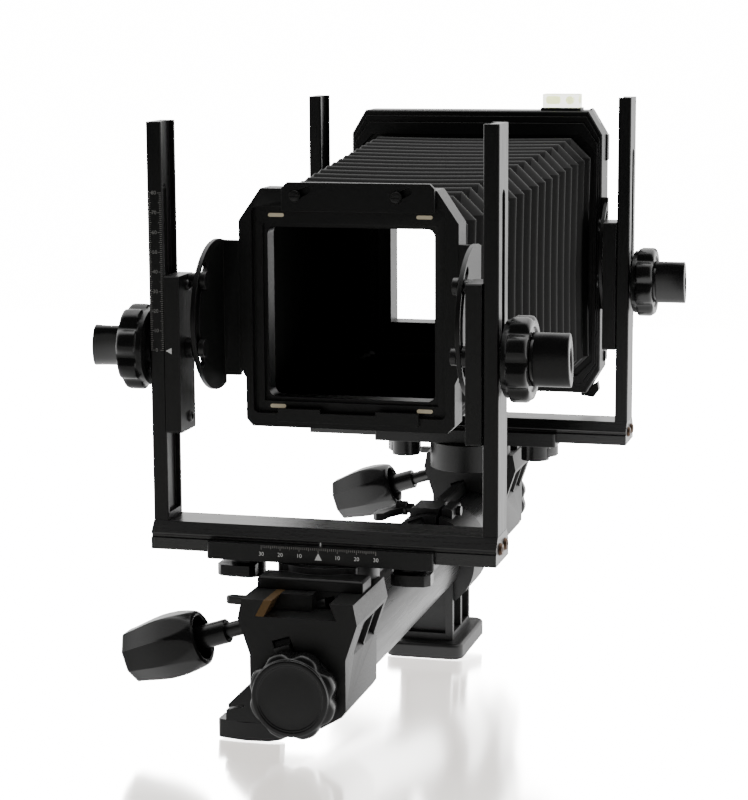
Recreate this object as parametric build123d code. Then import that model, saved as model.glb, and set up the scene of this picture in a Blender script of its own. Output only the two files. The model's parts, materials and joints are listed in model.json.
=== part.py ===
from build123d import *
import math
import os

os.makedirs("parts", exist_ok=True)

# Monorail view camera. Millimetres, +Z up, the lens side faces -Y, the operator looks along -Y.
# The origin is the mouth of the tripod socket, in the middle of the foot under the rail clamp.

# ---------------------------------------------------------------- driving dimensions
GAP = 0.3                    # air between pieces that slide or turn past each other
SHAFT_PLAY = 0.05            # radial play of a shaft in its bore

RAIL_Z = 56.0                # rail axis above the foot
TUBE_R = 19.5
TUBE_WALL = 3.0
RAIL_FRONT, RAIL_REAR = -300.0, 172.0
CAP_R = 22.3
CAP_LENGTH = 11.5

RACK_TILT = 17.8             # rack leans this many degrees from the top towards -X
RACK_WIDTH = 8.0
MODULE = 1.0                 # gear module of rack and pinion
PINION_TEETH = 17
PINION_PITCH_R = MODULE * PINION_TEETH / 2
SHAFT_OFFSET = 33.7          # focus shaft axis to rail axis
RACK_PITCH_R = SHAFT_OFFSET - PINION_PITCH_R
BACKLASH = 0.16
PINION_START = math.pi / 2   # direction of the tooth that points at the rack
SHAFT_END = 68.0             # how far the focus shaft reaches into its handle

FOOT_W, FOOT_L, FOOT_H = 47.0, 69.0, 9.0
SOCKET_R = 4.05              # inside of the 3/8 inch tripod thread
SOCKET_DEPTH = 13.0
CLAMP_RING_R = 28.5
CLAMP_RING_L = 40.0
CLAMP_SCREW_Z = 84.3         # cross screw that pulls the split ring together
CLAMP_SCREW_R = 1.6

FRONT_Y, REAR_Y = -239.0, 98.0         # middle of the uprights of each standard
CARRIAGE_START = -2.0                  # carriage ends, measured outwards from the uprights
CARRIAGE_END = {"front": 58.0, "rear": 50.0}
DRIVE_OFFSET = {"front": 33.0, "rear": 24.0}      # focus shaft, measured the same way
CARRIAGE_TOP = 101.0
GIB_LINE = ((-17.0, 101.0), (-21.5, 92.6))        # undercut left flank of the top channel, as (x, z)
GIB_T = 4.4
LOCK_PIVOT_X = -25.8
LOCK_OFFSET = 8.0                      # focus lock and rail lever lie this far outside the focus shaft
RAIL_LEVER_OFFSET = 12.0
PLATE_TOP = 107.0                      # the flat front part of the swing base
BORE_PLAY = 0.3
JAW_BOLT_X, JAW_BOLT_R = -22.2, 1.8
RAIL_LEVER_X = -22.0
SWING_TOP = 110.3
CHANNEL_HALF_X, CHANNEL_HALF_Y = 59.5, 19.5
CHANNEL_Z = (110.6, 112.9, 119.4)      # underside, floor and lip tops
BAR_HALF_Y = 15.5
BAR_Z = (113.2, 127.4)
LEVER_X = 43.0               # locking levers, to each side of the swing pivot
LEVER_HUB_R = 9.0
UPRIGHT_T, UPRIGHT_D = 8.0, 22.0
UPRIGHT_TOP = 331.5
RISE = 80.0
SPINDLE_Z = 216.0            # clamp spindle at the scale's zero
SPINDLE_R = 3.0
SLOT_HALF = 3.4
KNOB_R = 22.0
TILT_Z = 229.5               # optical axis
TILT_DY = 32.0               # tilt axis behind the spindle
GUIDE_ANGLE = 143.0          # place of the guide pin on the arc slot's circle
ARC_PIN_R = 2.4
ARC_SLOT_HALF = 2.6
TILT_LIMIT = 15.0
PLATE_R = 39.5
PLATE_T = 2.4

FRONT_HALF_SPAN = 82.5       # inner faces of the uprights
REAR_HALF_SPAN = 96.0
FRONT_FRAME_HALF_X = 59.0
FRONT_FRAME_Y = (-199.0, -182.0)
FRONT_FRAME_Z = (169.2, 295.0)
FRONT_OPENING = 90.0
LOCK_SCREW_X, LOCK_SCREW_Z = (-27.0, 27.0), 291.5
LOCK_DIR = (-0.9, -0.436)    # the lens board lock stands open and slides down to the side, as (x, z)
LOCK_TRAVEL = 7.0
BOARD_SIZE = 110.0
REAR_FRAME_HALF_X = 82.0
REAR_FRAME_Y = (112.0, 137.0)
REAR_FRAME_Z = (141.0, 322.0)
REAR_OPENING = (114.0, 92.0)
BACK_SCREW_R = 1.65

BELLOWS_HALF = (58.0, 75.0)  # half widths at the front and at the rear
BELLOWS_WALL = 1.2
BELLOWS_CORNER = 10.0


# ---------------------------------------------------------------- small helpers
def block(x, y, z):
    """A box from three (low, high) pairs."""
    size = [b - a for a, b in (x, y, z)]
    return Pos(*[(a + b) / 2 for a, b in (x, y, z)]) * Box(*size)


def rod(start, end, radius, top_radius=None):
    """A round bar, or a cone frustum, between two points."""
    a, b = Vector(*start), Vector(*end)
    place = Plane(origin=a, z_dir=b - a)
    length = (b - a).length
    align = (Align.CENTER, Align.CENTER, Align.MIN)
    if top_radius is None:
        return place * Cylinder(radius, length, align=align)
    return place * Cone(radius, top_radius, length, align=align)


def prism_y(points, y0, y1):
    """A polygon of (x, z) points, run from y0 to y1."""
    face = make_face(Polyline(*[(x, y0, z) for x, z in points], close=True))
    return extrude(face, amount=y1 - y0, dir=(0, 1, 0))


def prism_x(points, x0, x1):
    """A polygon of (y, z) points, run from x0 to x1."""
    face = make_face(Polyline(*[(x0, y, z) for y, z in points], close=True))
    return extrude(face, amount=x1 - x0, dir=(1, 0, 0))


def prism_z(points, z0, z1):
    """A polygon of (x, y) points, run from z0 to z1."""
    face = make_face(Polyline(*[(x, y, z0) for x, y in points], close=True))
    return extrude(face, amount=z1 - z0, dir=(0, 0, 1))


def scalloped(radius, lobes, depth, length):
    """A grip with shallow flutes round its rim, along +Z from the origin."""
    grip = Cylinder(radius, length, align=(Align.CENTER, Align.CENTER, Align.MIN))
    flute_r = radius * 0.62
    for i in range(lobes):
        turn = Rot(0, 0, 360 * (i + 0.5) / lobes)
        flute = Cylinder(flute_r, length, align=(Align.CENTER, Align.CENTER, Align.MIN))
        grip -= turn * Pos(radius + flute_r - depth, 0, 0) * flute
    return grip


def chamfered_rectangle(half_x, low_z, high_z, cut, cut_z=None):
    """Corner points (x, z) of a rectangle with its four corners cut off."""
    rise = cut if cut_z is None else cut_z
    return [
        (-half_x, low_z + rise), (-half_x + cut, low_z), (half_x - cut, low_z), (half_x, low_z + rise),
        (half_x, high_z - rise), (half_x - cut, high_z), (-half_x + cut, high_z), (-half_x, high_z - rise),
    ]


def save(name, shape):
    """Writes one sub-part; a list becomes one node of separate solids."""
    if isinstance(shape, (list, tuple)):
        shape = Compound(children=[s for s in shape])
    export_step(shape, f"parts/{name}.step")


# ---------------------------------------------------------------- rail
RACK_ANGLE = math.radians(90 + RACK_TILT)
RACK_NORMAL = (math.cos(RACK_ANGLE), math.sin(RACK_ANGLE))      # (x, z) from rail axis to pinion
SHAFT_DIR = Vector(-math.cos(math.radians(RACK_TILT)), 0, -math.sin(math.radians(RACK_TILT)))
RACK_FRAME_X = -SHAFT_DIR                                        # across the rack


def rack_plane(y):
    """Plane across the rail at y: local x along the rail, local y away from the rail axis."""
    return Plane(origin=(0, y, RAIL_Z), x_dir=(0, 1, 0), z_dir=RACK_FRAME_X)


def rail_tube():
    tube = rod((0, RAIL_FRONT, RAIL_Z), (0, RAIL_REAR, RAIL_Z), TUBE_R)
    bore = rod((0, RAIL_FRONT, RAIL_Z), (0, RAIL_REAR, RAIL_Z), TUBE_R - TUBE_WALL)
    length = RAIL_REAR - RAIL_FRONT
    seat = Rot(0, -RACK_TILT, 0) * Pos(0, 0, TUBE_R) * Box(RACK_WIDTH + 0.1, length, 2.0)
    return tube - bore - Pos(0, (RAIL_FRONT + RAIL_REAR) / 2, RAIL_Z) * seat


def rail_rack():
    """A rack bar let into the tube: straight-flanked teeth along the whole rail."""
    pitch = math.pi * MODULE
    slope = math.tan(math.radians(20))
    half_tooth = pitch / 4 - BACKLASH / 2
    tip, root = RACK_PITCH_R + MODULE, RACK_PITCH_R - 1.25 * MODULE
    count = int((RAIL_REAR - RAIL_FRONT) / pitch) - 2
    points = [(0.0, TUBE_R - 0.95), (0.0, root)]
    for i in range(count):
        middle = (i + 1.5) * pitch
        points += [
            (middle - half_tooth - 1.25 * MODULE * slope, root),
            (middle - half_tooth + MODULE * slope, tip),
            (middle + half_tooth - MODULE * slope, tip),
            (middle + half_tooth + 1.25 * MODULE * slope, root),
        ]
    end = (count + 2) * pitch
    points += [(end, root), (end, TUBE_R - 0.95)]
    place = rack_plane(RAIL_FRONT)
    bar = extrude(place * make_face(Polyline(*points, close=True)), amount=RACK_WIDTH / 2, both=True)
    return bar


def rack_gap_phase(y):
    """How far behind y the next gap of the rack lies, in millimetres."""
    pitch = math.pi * MODULE
    return (RAIL_FRONT + pitch - y) % pitch


def end_cap(y, outward):
    """A scalloped rail cap with a dished face and a plug that fills the tube's end."""
    skirt = scalloped(CAP_R, 8, 1.6, CAP_LENGTH)
    skirt -= Pos(0, 0, CAP_LENGTH - 1.2) * Cylinder(
        CAP_R - 5.5, 2.0, align=(Align.CENTER, Align.CENTER, Align.MIN))
    skirt += Pos(0, 0, -14) * Cylinder(
        TUBE_R - TUBE_WALL, 14.0, align=(Align.CENTER, Align.CENTER, Align.MIN))
    skirt -= Pos(0, 0, -14) * Cylinder(10, 16, align=(Align.CENTER, Align.CENTER, Align.MIN))
    place = Plane(origin=(0, y, RAIL_Z), x_dir=(1, 0, 0), z_dir=(0, outward, 0))
    return place * skirt


# ---------------------------------------------------------------- tripod block
def tripod_block():
    """Foot, ribbed I-shaped pedestal and the split ring that holds the rail."""
    foot = block((-FOOT_W / 2, FOOT_W / 2), (-FOOT_L / 2, FOOT_L / 2), (0, FOOT_H))
    foot = fillet(foot.edges().filter_by(Axis.Z), 7.0)
    foot = fillet(foot.faces().sort_by(Axis.Z)[-1].edges(), 2.0)
    body = block((-16, 16), (-24, 24), (FOOT_H - 1, RAIL_Z))
    pocket_depth = 4.0
    pocket_rows = ((13.0, 36.5), (40.5, 52.0))
    for side in (-1, 1):
        for y0, y1 in ((-20.0, -2.0), (2.0, 20.0)):
            for z0, z1 in pocket_rows:
                inner, outer = 16 - pocket_depth, 17
                x = (inner, outer) if side > 0 else (-outer, -inner)
                body -= block(x, (y0, y1), (z0, z1))
        face = (-25, -19) if side < 0 else (19, 25)
        body -= block((-11.5, 11.5), face, (13.0, 52.0))
    half = CLAMP_RING_L / 2
    ring = rod((0, -half, RAIL_Z), (0, half, RAIL_Z), CLAMP_RING_R)
    ears = block((-13.5, 13), (-12, 12), (RAIL_Z + 22, CLAMP_SCREW_Z + 3))
    ears = fillet(ears.edges().filter_by(Axis.Y), 2.0)
    solid = foot + body + ring + ears
    bore = rod((0, -40, RAIL_Z), (0, 40, RAIL_Z), TUBE_R)
    solid -= bore
    # the rack and the clamping split need room at the top of the ring
    rack_room = Rot(0, -RACK_TILT, 0) * Pos(0, 0, TUBE_R + 3) * Box(RACK_WIDTH + 1.5, 80, 9.5)
    solid -= Pos(0, 0, RAIL_Z) * rack_room
    solid -= block((4.5, 6.5), (-40, 40), (RAIL_Z + 15, RAIL_Z + 40))
    solid -= rod((-20, 0, CLAMP_SCREW_Z), (20, 0, CLAMP_SCREW_Z), CLAMP_SCREW_R + SHAFT_PLAY)
    solid -= rod((0, 0, -1), (0, 0, SOCKET_DEPTH + 2), 7.0)
    return solid


def tripod_insert():
    """Threaded bush for the tripod screw, flush with the foot."""
    bush = rod((0, 0, 0), (0, 0, SOCKET_DEPTH + 2), 7.0)
    return bush - rod((0, 0, -1), (0, 0, SOCKET_DEPTH), SOCKET_R)


def tripod_lever():
    """Clamping lever with its cross screw through the ring's two ears."""
    z = CLAMP_SCREW_Z
    lever = rod((-22, 0, z), (16, 0, z), CLAMP_SCREW_R)
    lever += rod((-22, 0, z), (-13.8, 0, z), 3.0)
    lever += rod((-24.5, 0, z), (-18, 0, z), 4.4)
    lever += rod((13.3, 0, z), (16, 0, z), 3.0)
    outline = [(-24.5, 3), (-33, -14), (-33.5, -23), (-31, -25.5), (-27, -24), (-25, -14), (-18.5, -2), (-18.5, 3)]
    return lever + prism_z(outline, z - 3.2, z + 1.2)


# ---------------------------------------------------------------- one standard
class Standard:
    """Places the pieces of one standard. out is -1 for the front one and +1 for the rear one."""

    def __init__(self, name, middle_y, out, half_span, pin_head, plate_gap):
        self.name = name
        self.y = middle_y
        self.out = out
        self.carriage_y = middle_y + out * DRIVE_OFFSET[name]
        self.carriage_end = CARRIAGE_END[name]
        self.inner = half_span
        self.outer = half_span + UPRIGHT_T
        self.slide = (half_span - 8.5, half_span - GAP)
        self.plate = (self.slide[0] - plate_gap - PLATE_T, self.slide[0] - plate_gap)
        self.pin_head = pin_head
        self.tilt_y = middle_y + TILT_DY

    def span(self, a, b):
        """A (low, high) pair along Y, from distances measured outwards from the uprights."""
        ends = sorted((self.y + self.out * a, self.y + self.out * b))
        return tuple(ends)

    def carriage_span(self, a, b):
        ends = sorted((self.carriage_y + self.out * a, self.carriage_y + self.out * b))
        return tuple(ends)

    # -- the carriage on the rail
    def shaft_point(self, along):
        """A point on the focus shaft, measured from its foot above the rack."""
        foot = Vector(RACK_NORMAL[0] * SHAFT_OFFSET, self.carriage_y, RAIL_Z + RACK_NORMAL[1] * SHAFT_OFFSET)
        return foot + SHAFT_DIR * along

    def carriage(self):
        profile = [
            (-28.5, CARRIAGE_TOP), (28.5, CARRIAGE_TOP), (30.5, 91), (24.5, 73), (24.5, 47), (22.5, 44),
            (12, 37.6), (8, 37.6), (8, 56), (-24.5, 56), (-24.5, 73), (-30.5, 91),
        ]
        y0, y1 = self.span(CARRIAGE_START, self.carriage_end)
        solid = prism_y(profile, y0, y1)
        solid -= rod((0, y0 - 1, RAIL_Z), (0, y1 + 1, RAIL_Z), TUBE_R + BORE_PLAY)
        rack_room = Rot(0, -RACK_TILT, 0) * Pos(0, 0, RACK_PITCH_R - 2) * Box(RACK_WIDTH + 1.4, 80, 8.4)
        solid -= Pos(0, self.carriage_y, RAIL_Z) * rack_room
        solid -= rod(self.shaft_point(-13), self.shaft_point(9), PINION_PITCH_R + 1.7)
        solid -= rod(self.shaft_point(-25), self.shaft_point(SHAFT_END), 4.0 + SHAFT_PLAY)
        # two slanted pockets with a rib between them under each shoulder
        for side in (-1, 1):
            for a, b in ((3, 21.5), (23.5, 42)):
                pocket = [(side * 33, 90), (side * 27.2, 87.5), (side * 21.8, 74.5), (side * 26, 70)]
                solid -= prism_y(pocket, *self.span(a, b))
        # undercut channel in the top, open at the outer end, with the brass gib on its left flank
        (top_x, top_z), (floor_x, floor_z) = GIB_LINE
        channel = [
            (top_x, top_z + 3), (top_x, top_z), (floor_x, floor_z), (20.0, floor_z), (16.5, top_z), (16.5, top_z + 3),
        ]
        solid -= prism_y(channel, *self.span(self.carriage_end - 14.5, self.carriage_end + 1))
        deep = [(3.5, top_z + 3), (3.5, floor_z), (20.0, floor_z), (16.5, top_z), (16.5, top_z + 3)]
        solid -= prism_y(deep, *self.span(self.carriage_end - 23, self.carriage_end + 1))
        solid -= prism_y(self.gib_tail_outline(), *self.span(self.carriage_end - 23, self.carriage_end))
        # bearing for the jaw bolt, and the slot and bearing of the focus lock
        solid -= rod((JAW_BOLT_X, self.carriage_y, 50), (JAW_BOLT_X, self.carriage_y, 66), JAW_BOLT_R)
        solid -= block((-40, -22.7), self.carriage_span(LOCK_OFFSET - 8, LOCK_OFFSET + 8), (93.6, 98.2))
        x, y = LOCK_PIVOT_X, self.carriage_y + self.out * LOCK_OFFSET
        solid -= rod((x, y, 89.5), (x, y, 94), 1.5 + SHAFT_PLAY)
        return solid

    def gib_tail_outline(self):
        (top_x, top_z), (floor_x, floor_z) = GIB_LINE
        low_z = 98.3
        low_x = top_x + (floor_x - top_x) * (top_z - low_z) / (top_z - floor_z)
        return [(top_x, top_z), (top_x + GIB_T, top_z), (low_x + GIB_T, low_z), (low_x, low_z)]

    def brass_gib(self):
        """Slanted brass strip along the left flank of the channel, with a thin tail further in."""
        (top_x, top_z), (floor_x, floor_z) = GIB_LINE
        outline = [(top_x, top_z), (top_x + GIB_T, top_z), (floor_x + GIB_T, floor_z), (floor_x, floor_z)]
        head = prism_y(outline, *self.span(self.carriage_end - 14.5, self.carriage_end))
        return head + prism_y(self.gib_tail_outline(), *self.span(self.carriage_end - 23, self.carriage_end - 14))

    def rail_jaw(self):
        """Lower left jaw that closes on the tube."""
        y0, y1 = self.span(CARRIAGE_START + 6, self.carriage_end - 4)
        profile = [
            (-24.5, 55.7), (-27.2, 55.7), (-37.4, 45.6), (-37.4, 43.8), (-29, 45.6), (-29, 44.7), (-38.6, 42.4),
            (-38.6, 36.8), (-4, 36.8), (6, 37.6), (6, 55.7),
        ]
        jaw = prism_y(profile, y0, y1)
        jaw -= rod((0, y0 - 1, RAIL_Z), (0, y1 + 1, RAIL_Z), TUBE_R + BORE_PLAY)
        x, y = RAIL_LEVER_X, self.carriage_y + self.out * RAIL_LEVER_OFFSET
        jaw -= rod((x, y, 30), (x, y, 43.5), SPINDLE_R + SHAFT_PLAY)
        return jaw + rod((JAW_BOLT_X, self.carriage_y, 51), (JAW_BOLT_X, self.carriage_y, 65), JAW_BOLT_R)

    def rail_lever(self):
        """Flat clamping lever under the jaw, on a short upright spindle."""
        x, y = RAIL_LEVER_X, self.carriage_y + self.out * RAIL_LEVER_OFFSET
        outline = [
            (-22, -4.5), (-20.5, -6), (-7, -8.5), (5, -7.5), (10, -4), (11.5, 0), (10, 4), (5, 7.5), (-7, 8.5),
            (-20.5, 6), (-22, 4.5),
        ]
        lever = prism_z([(x + px, y + py) for px, py in outline], 27.0, 36.5)
        return lever + rod((x, y, 33), (x, y, 42.5), SPINDLE_R)

    def focus_pinion(self):
        """Focus shaft with its involute pinion, cut in one piece."""
        half_width = RACK_WIDTH / 2 + 1.5
        shaft = rod(self.shaft_point(-20), self.shaft_point(SHAFT_END), 4.0)
        place = Plane(origin=self.shaft_point(-half_width), x_dir=(0, 1, 0), z_dir=-RACK_FRAME_X)
        gear = extrude(place * make_face(Polyline(*self.pinion_outline(), close=True)), amount=2 * half_width)
        return shaft + gear

    def pinion_outline(self):
        """Involute teeth; one tooth stands in the rack gap nearest to the shaft."""
        base_r = PINION_PITCH_R * math.cos(math.radians(20))
        tip_r, root_r = PINION_PITCH_R + MODULE, PINION_PITCH_R - 1.25 * MODULE

        def flank(radius):
            roll = math.sqrt(max((radius / base_r) ** 2 - 1, 0))
            return roll - math.atan(roll)

        half_pitch_angle = math.pi / (2 * PINION_TEETH) - BACKLASH / (2 * PINION_PITCH_R)
        at_pitch = flank(PINION_PITCH_R)
        radii = [base_r, (base_r + PINION_PITCH_R) / 2, PINION_PITCH_R, (PINION_PITCH_R + tip_r) / 2, tip_r]
        gap = rack_gap_phase(self.carriage_y)
        to_gap = gap / PINION_PITCH_R
        points = []
        for i in range(PINION_TEETH):
            # local y points up to the rail's outside here, so the rack lies at local angle +90
            middle = PINION_START - to_gap + 2 * math.pi * i / PINION_TEETH
            side = [(r, half_pitch_angle - (flank(r) - at_pitch)) for r in radii]
            points.append((root_r, middle - side[0][1]))
            points += [(r, middle - a) for r, a in side]
            points += [(r, middle + a) for r, a in reversed(side)]
            points.append((root_r, middle + side[0][1]))
        return [(r * math.cos(a), r * math.sin(a)) for r, a in points]

    def focus_handle(self):
        """Octagonal barrel grip, open towards the carriage, with a neck round the shaft."""
        mouth, widest, tip = 49.0, 66.0, 89.5
        place = Plane(origin=self.shaft_point(0), x_dir=(0, 1, 0), z_dir=SHAFT_DIR)
        sections = ((mouth, 14.8), (widest, 16.8), (tip, 14.4))
        faces = [place * Pos(0, 0, z) * RegularPolygon(r, 8, rotation=22.5) for z, r in sections]
        grip = loft([faces[0], faces[1]], ruled=True) + loft([faces[1], faces[2]], ruled=True)
        grip -= rod(self.shaft_point(mouth - 1), self.shaft_point(mouth + 9), 11.2)
        grip += rod(self.shaft_point(35), self.shaft_point(mouth + 12), 6.2)
        grip -= rod(self.shaft_point(30), self.shaft_point(SHAFT_END), 4.0)
        return grip

    def focus_lock(self):
        """Small thumb tab that locks the focus drive, on an upright pin in the shoulder."""
        x, y = LOCK_PIVOT_X, self.carriage_y + self.out * LOCK_OFFSET
        tab = prism_z([(x, y - 2.8), (-39.5, y - 2.8), (-41.5, y - 1), (-41.5, y + 1), (-39.5, y + 2.8), (x, y + 2.8)],
                      93.9, 97.9)
        return tab + rod((x, y, 93.9), (x, y, 97.9), 2.8) + rod((x, y, 90), (x, y, 94), 1.5)

    # -- swing and shift
    def swing_base(self):
        """Raised block on the carriage that carries the swing bearing."""
        outer = block((-27.4, 27.4), self.span(19, 35), (CARRIAGE_TOP, PLATE_TOP))
        outer = chamfer(outer.faces().sort_by(Axis.Z)[-1].edges(), 1.0)
        hub_z = 93.0
        around = rod((0, self.y, hub_z), (0, self.y, SWING_TOP), 26.0)
        # the hub overhangs the carriage, so its lower part is cut off over the carriage
        around -= block((-40, 40), self.span(CARRIAGE_START, 60), (80, CARRIAGE_TOP))
        around += block((-20, 20), self.span(-2, 21), (CARRIAGE_TOP, SWING_TOP))
        solid = outer + around
        solid -= rod((0, self.y, SWING_TOP - 3.3), (0, self.y, SWING_TOP + 5), 22.3)
        solid -= rod((0, self.y, 80), (0, self.y, SWING_TOP), 6.0 + SHAFT_PLAY)
        return solid

    def turntable(self):
        """Round swing bearing plate with its pivot and retaining collar."""
        plate = rod((0, self.y, SWING_TOP - 3.0), (0, self.y, CHANNEL_Z[0]), 22.0)
        pivot = rod((0, self.y, 103.5), (0, self.y, SWING_TOP - 2.9), 6.0)
        return plate + pivot

    def shift_channel(self):
        """Channel that guides the crossbar, with bosses for the two locking levers."""
        low, floor, top = CHANNEL_Z
        solid = block((-CHANNEL_HALF_X, CHANNEL_HALF_X), self.span(-CHANNEL_HALF_Y, CHANNEL_HALF_Y), (low, top))
        solid = fillet(solid.edges().filter_by(Axis.Z), 2.0)
        inner = BAR_HALF_Y + GAP
        solid -= block((-70, 70), self.span(-inner, inner), (floor, top + 1))
        for side in (-1, 1):
            x = side * LEVER_X
            solid -= rod((x, self.y, 100), (x, self.y, 115), SPINDLE_R + SHAFT_PLAY)
        return solid

    def lock_lever(self, side):
        """Locking lever under the channel, with a round-headed stud in the crossbar's slot."""
        x = side * LEVER_X
        low = 99.0
        hub = rod((x, self.y, low), (x, self.y, CHANNEL_Z[0] - GAP), LEVER_HUB_R)
        stud = rod((x, self.y, low), (x, self.y, 117.0), SPINDLE_R)
        head = rod((x, self.y, 116.5), (x, self.y, 119.3), 5.0)
        arm_line = [
            (0, 7.5), (9, 3), (13, -4), (13.2, -11), (10.5, -14.5), (4, -15.5), (-5, -14.8), (-7.2, -12), (-7, -5),
        ]
        arm = prism_z([(x + side * px, self.y - self.out * py) for px, py in arm_line], 100.8, 106.6)
        return hub + stud + head + arm

    # -- the U-shaped standard
    def crossbar(self):
        low, top = BAR_Z
        half = BAR_HALF_Y
        profile = [
            (-half, low), (half, low), (half, 119.3), (half - 1.2, 119.6), (half - 1.2, 120.8), (half - 0.3, 121.2),
            (half - 0.3, 122.2), (UPRIGHT_D / 2, top), (-UPRIGHT_D / 2, top), (-half + 0.3, 122.2),
            (-half + 0.3, 121.2), (-half + 1.2, 120.8), (-half + 1.2, 119.6), (-half, 119.3),
        ]
        solid = prism_x([(self.y + v, z) for v, z in profile], -self.outer, self.outer)
        reach = LEVER_X + 40
        solid -= block((-reach, reach), (self.y - 3.6, self.y + 3.6), (low - 1, 116.3))
        solid -= block((-reach, reach), (self.y - 6.0, self.y + 6.0), (116.2, 119.7))
        for side in (-1, 1):
            for v in (-6, 6):
                x = side * self.outer
                solid -= rod((x, self.y + v, 120.6), (x - side * 9, self.y + v, 120.6), 2.2)
        return solid

    def end_screws(self):
        """Four button-headed screws, two in each end of the crossbar."""
        screws = []
        for side in (-1, 1):
            for v in (-6, 6):
                x = side * self.outer
                shank = rod((x - side * 8.5, self.y + v, 120.6), (x, self.y + v, 120.6), 2.2)
                head = rod((x, self.y + v, 120.6), (x + side * 1.5, self.y + v, 120.6), 3.4, 2.6)
                socket = rod((x + side * 0.4, self.y + v, 120.6), (x + side * 2, self.y + v, 120.6), 1.2)
                screws.append(shank + head - socket)
        return screws

    def upright(self, side):
        x = (self.inner, self.outer) if side > 0 else (-self.outer, -self.inner)
        half = UPRIGHT_D / 2
        solid = block(x, (self.y - half, self.y + half), (BAR_Z[1], UPRIGHT_TOP))
        solid = chamfer(solid.edges().filter_by(Axis.Z), 0.6)
        low, high = SPINDLE_Z - SLOT_HALF + 0.1, SPINDLE_Z + RISE + SLOT_HALF - 0.1
        slot = block((self.inner - 1, self.outer + 1), (self.y - SLOT_HALF, self.y + SLOT_HALF),
                     (low + SLOT_HALF, high - SLOT_HALF))
        for z in (low + SLOT_HALF, high - SLOT_HALF):
            slot += rod((self.inner - 1, self.y, z), (self.outer + 1, self.y, z), SLOT_HALF)
        if side < 0:
            slot = slot.mirror(Plane.YZ)
        return solid - slot

    def slide_block(self, side):
        """Long slide on the inner face of an upright."""
        low, high = self.slide
        x = (low, high) if side > 0 else (-high, -low)
        solid = block(x, (self.y - 12.5, self.y + 10), (173.5, 254.0))
        solid = chamfer(solid.edges().filter_by(Axis.X), 0.8)
        for y, z, radius in self.spindle_places():
            solid -= rod((x[0] - 1, y, z), (x[1] + 1, y, z), radius)
        return solid

    def spindle_places(self):
        return [(self.y, SPINDLE_Z, SPINDLE_R), (*self.guide_place(), ARC_PIN_R)]

    def guide_place(self):
        """The second arc pin stands on the same circle about the tilt axis."""
        radius = math.hypot(TILT_DY, TILT_Z - SPINDLE_Z)
        angle = math.radians(GUIDE_ANGLE)
        return self.tilt_y + radius * math.cos(angle), TILT_Z + radius * math.sin(angle)

    def spindles(self):
        """Clamp spindle and guide pin of each side; both ride in the arc slot of the tilt plate."""
        pieces = []
        for side in (-1, 1):
            plate_in, plate_out = self.plate[0] - GAP, self.plate[1] + GAP
            head_x = plate_in - self.pin_head
            for y, z, radius in self.spindle_places():
                main = radius == SPINDLE_R
                end = self.outer + 27.5 if main else self.slide[1]
                pin = rod((side * head_x, y, z), (side * (plate_out + 0.1), y, z), ARC_PIN_R)
                pin += rod((side * plate_out, y, z), (side * self.slide[0], y, z), 5.5 if main else 3.8)
                pin += rod((side * self.slide[0], y, z), (side * end, y, z), radius)
                pin += rod((side * head_x, y, z), (side * plate_in, y, z), 4.6)
                pieces.append(pin)
        return pieces

    def tilt_knob(self, side):
        """Fluted hand wheel next to the upright."""
        length = 17.0
        knob = scalloped(KNOB_R, 8, 2.2, length)
        knob = knob - Pos(0, 0, length - 1.0) * Cylinder(
            15.8, 2.0, align=(Align.CENTER, Align.CENTER, Align.MIN))
        knob -= Cylinder(SPINDLE_R + SHAFT_PLAY, 3 * length)
        return self.knob_place(side, self.outer + GAP) * knob

    def rise_knob(self, side):
        """Wing knob on the end of the spindle."""
        start = self.outer + GAP + 16.3
        hub = Cylinder(14.5, 4.0, align=(Align.CENTER, Align.CENTER, Align.MIN))
        wing = prism_z([(-11.5, -5.5), (11.5, -4.0), (11.5, 4.0), (-11.5, 5.5)], 3.0, 20.0)
        wing = fillet(wing.edges().filter_by(Axis.Z), 3.0)
        slant = Pos(0, 0, 21) * Rot(0, 9, 0) * Box(60, 40, 6)
        knob = hub + (wing - slant)
        knob -= Cylinder(SPINDLE_R + SHAFT_PLAY, 12.0, align=(Align.CENTER, Align.CENTER, Align.MIN))
        return self.knob_place(side, start) * knob

    def knob_place(self, side, x):
        return Plane(origin=(side * x, self.y, SPINDLE_Z), x_dir=(0, 0, 1), z_dir=(side, 0, 0))

    # -- tilt plates
    def tilt_plates(self, frame_half_x, web_y):
        """On each side a half-round plate with an arc slot, and the web that joins it to the frame."""
        pieces = []
        low, high = self.plate
        radius = math.hypot(TILT_DY, TILT_Z - SPINDLE_Z)
        spindle_angle = math.degrees(math.atan2(SPINDLE_Z - TILT_Z, -TILT_DY)) % 360
        for side in (-1, 1):
            x = sorted((side * low, side * high))
            disc = rod((x[0], self.tilt_y, TILT_Z), (x[1], self.tilt_y, TILT_Z), PLATE_R)
            disc -= block((x[0] - 1, x[1] + 1), (web_y + 3.5, self.tilt_y + 60), (150, 320))
            first, last = GUIDE_ANGLE - TILT_LIMIT - 1, spindle_angle + TILT_LIMIT + 1
            disc -= self.arc_slot(x, radius, first, last)
            web_x = sorted((side * frame_half_x, side * high))
            web = block(web_x, (web_y, web_y + 3.5), (TILT_Z - 33.5, TILT_Z + 38))
            pieces.append(disc + web)
        return pieces

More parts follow.
